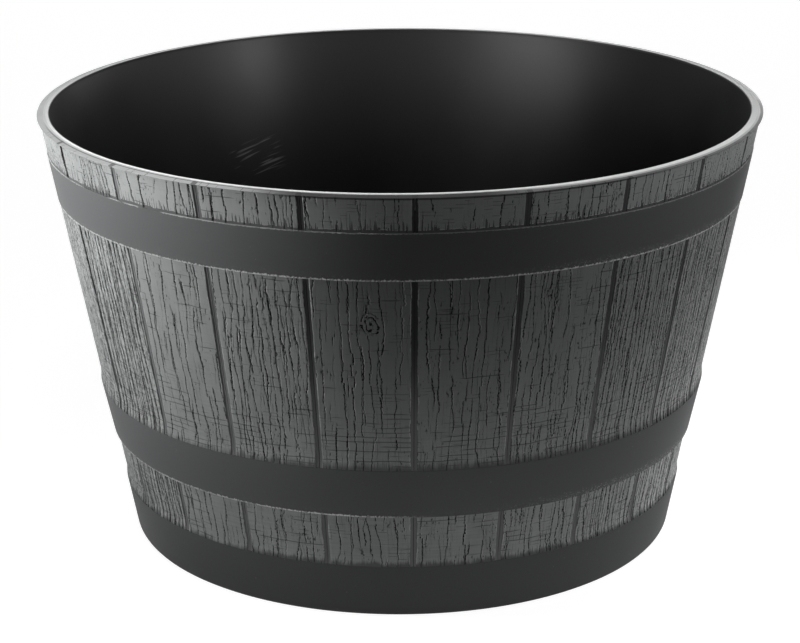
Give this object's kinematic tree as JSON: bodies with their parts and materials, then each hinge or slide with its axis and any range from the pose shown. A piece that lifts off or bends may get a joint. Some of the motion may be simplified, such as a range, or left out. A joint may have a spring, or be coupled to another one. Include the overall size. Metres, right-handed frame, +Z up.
{
  "type": "barrel planter",
  "caption": "Round tapered barrel planter: grey wood-look staves round a black inner tub, bound by charcoal hoops under a thin rim, with lift-out drain plugs in its floor.",
  "frame": {"origin": "on the ground, at the centre of the round footprint", "axes": "+Z up along the planter's own axis; -Y faces the viewer of the picture, +X to the viewer's right"},
  "size_m": [0.5599, 0.56, 0.34],
  "materials": {
    "tub_black": "smooth satin moulding",
    "stave_grey": "weathered wood-grain relief, satin, with charcoal edges",
    "hoop_charcoal": "satin charcoal",
    "rim_grey": "satin light grey",
    "plug_rubber": "matt black rubber"
  },
  "bodies": {
    "planter": {"tub": "tub_black", "stave_01": "stave_grey", "stave_02": "stave_grey", "stave_03": "stave_grey", "stave_04": "stave_grey", "stave_05": "stave_grey", "stave_06": "stave_grey", "stave_07": "stave_grey", "stave_08": "stave_grey", "stave_09": "stave_grey", "stave_10": "stave_grey", "stave_11": "stave_grey", "stave_12": "stave_grey", "stave_13": "stave_grey", "stave_14": "stave_grey", "stave_15": "stave_grey", "stave_16": "stave_grey", "stave_17": "stave_grey", "stave_18": "stave_grey", "stave_19": "stave_grey", "stave_20": "stave_grey", "stave_21": "stave_grey", "stave_22": "stave_grey", "base_hoop": "hoop_charcoal", "lower_hoop": "hoop_charcoal", "upper_hoop": "hoop_charcoal", "rim_ring": "rim_grey"},
    "front_drain_plug": {"drain_plug_front": "plug_rubber"},
    "right_drain_plug": {"drain_plug_right": "plug_rubber"},
    "back_drain_plug": {"drain_plug_back": "plug_rubber"},
    "left_drain_plug": {"drain_plug_left": "plug_rubber"}
  },
  "joints": [
    {"name": "front_plug_lift", "type": "slide", "parent": "planter", "child": "front_drain_plug", "axis": [0, 0, 1], "range_m": [0, 0.03]},
    {"name": "right_plug_lift", "type": "slide", "parent": "planter", "child": "right_drain_plug", "axis": [0, 0, 1], "range_m": [0, 0.03]},
    {"name": "back_plug_lift", "type": "slide", "parent": "planter", "child": "back_drain_plug", "axis": [0, 0, 1], "range_m": [0, 0.03]},
    {"name": "left_plug_lift", "type": "slide", "parent": "planter", "child": "left_drain_plug", "axis": [0, 0, 1], "range_m": [0, 0.03]}
  ]
}
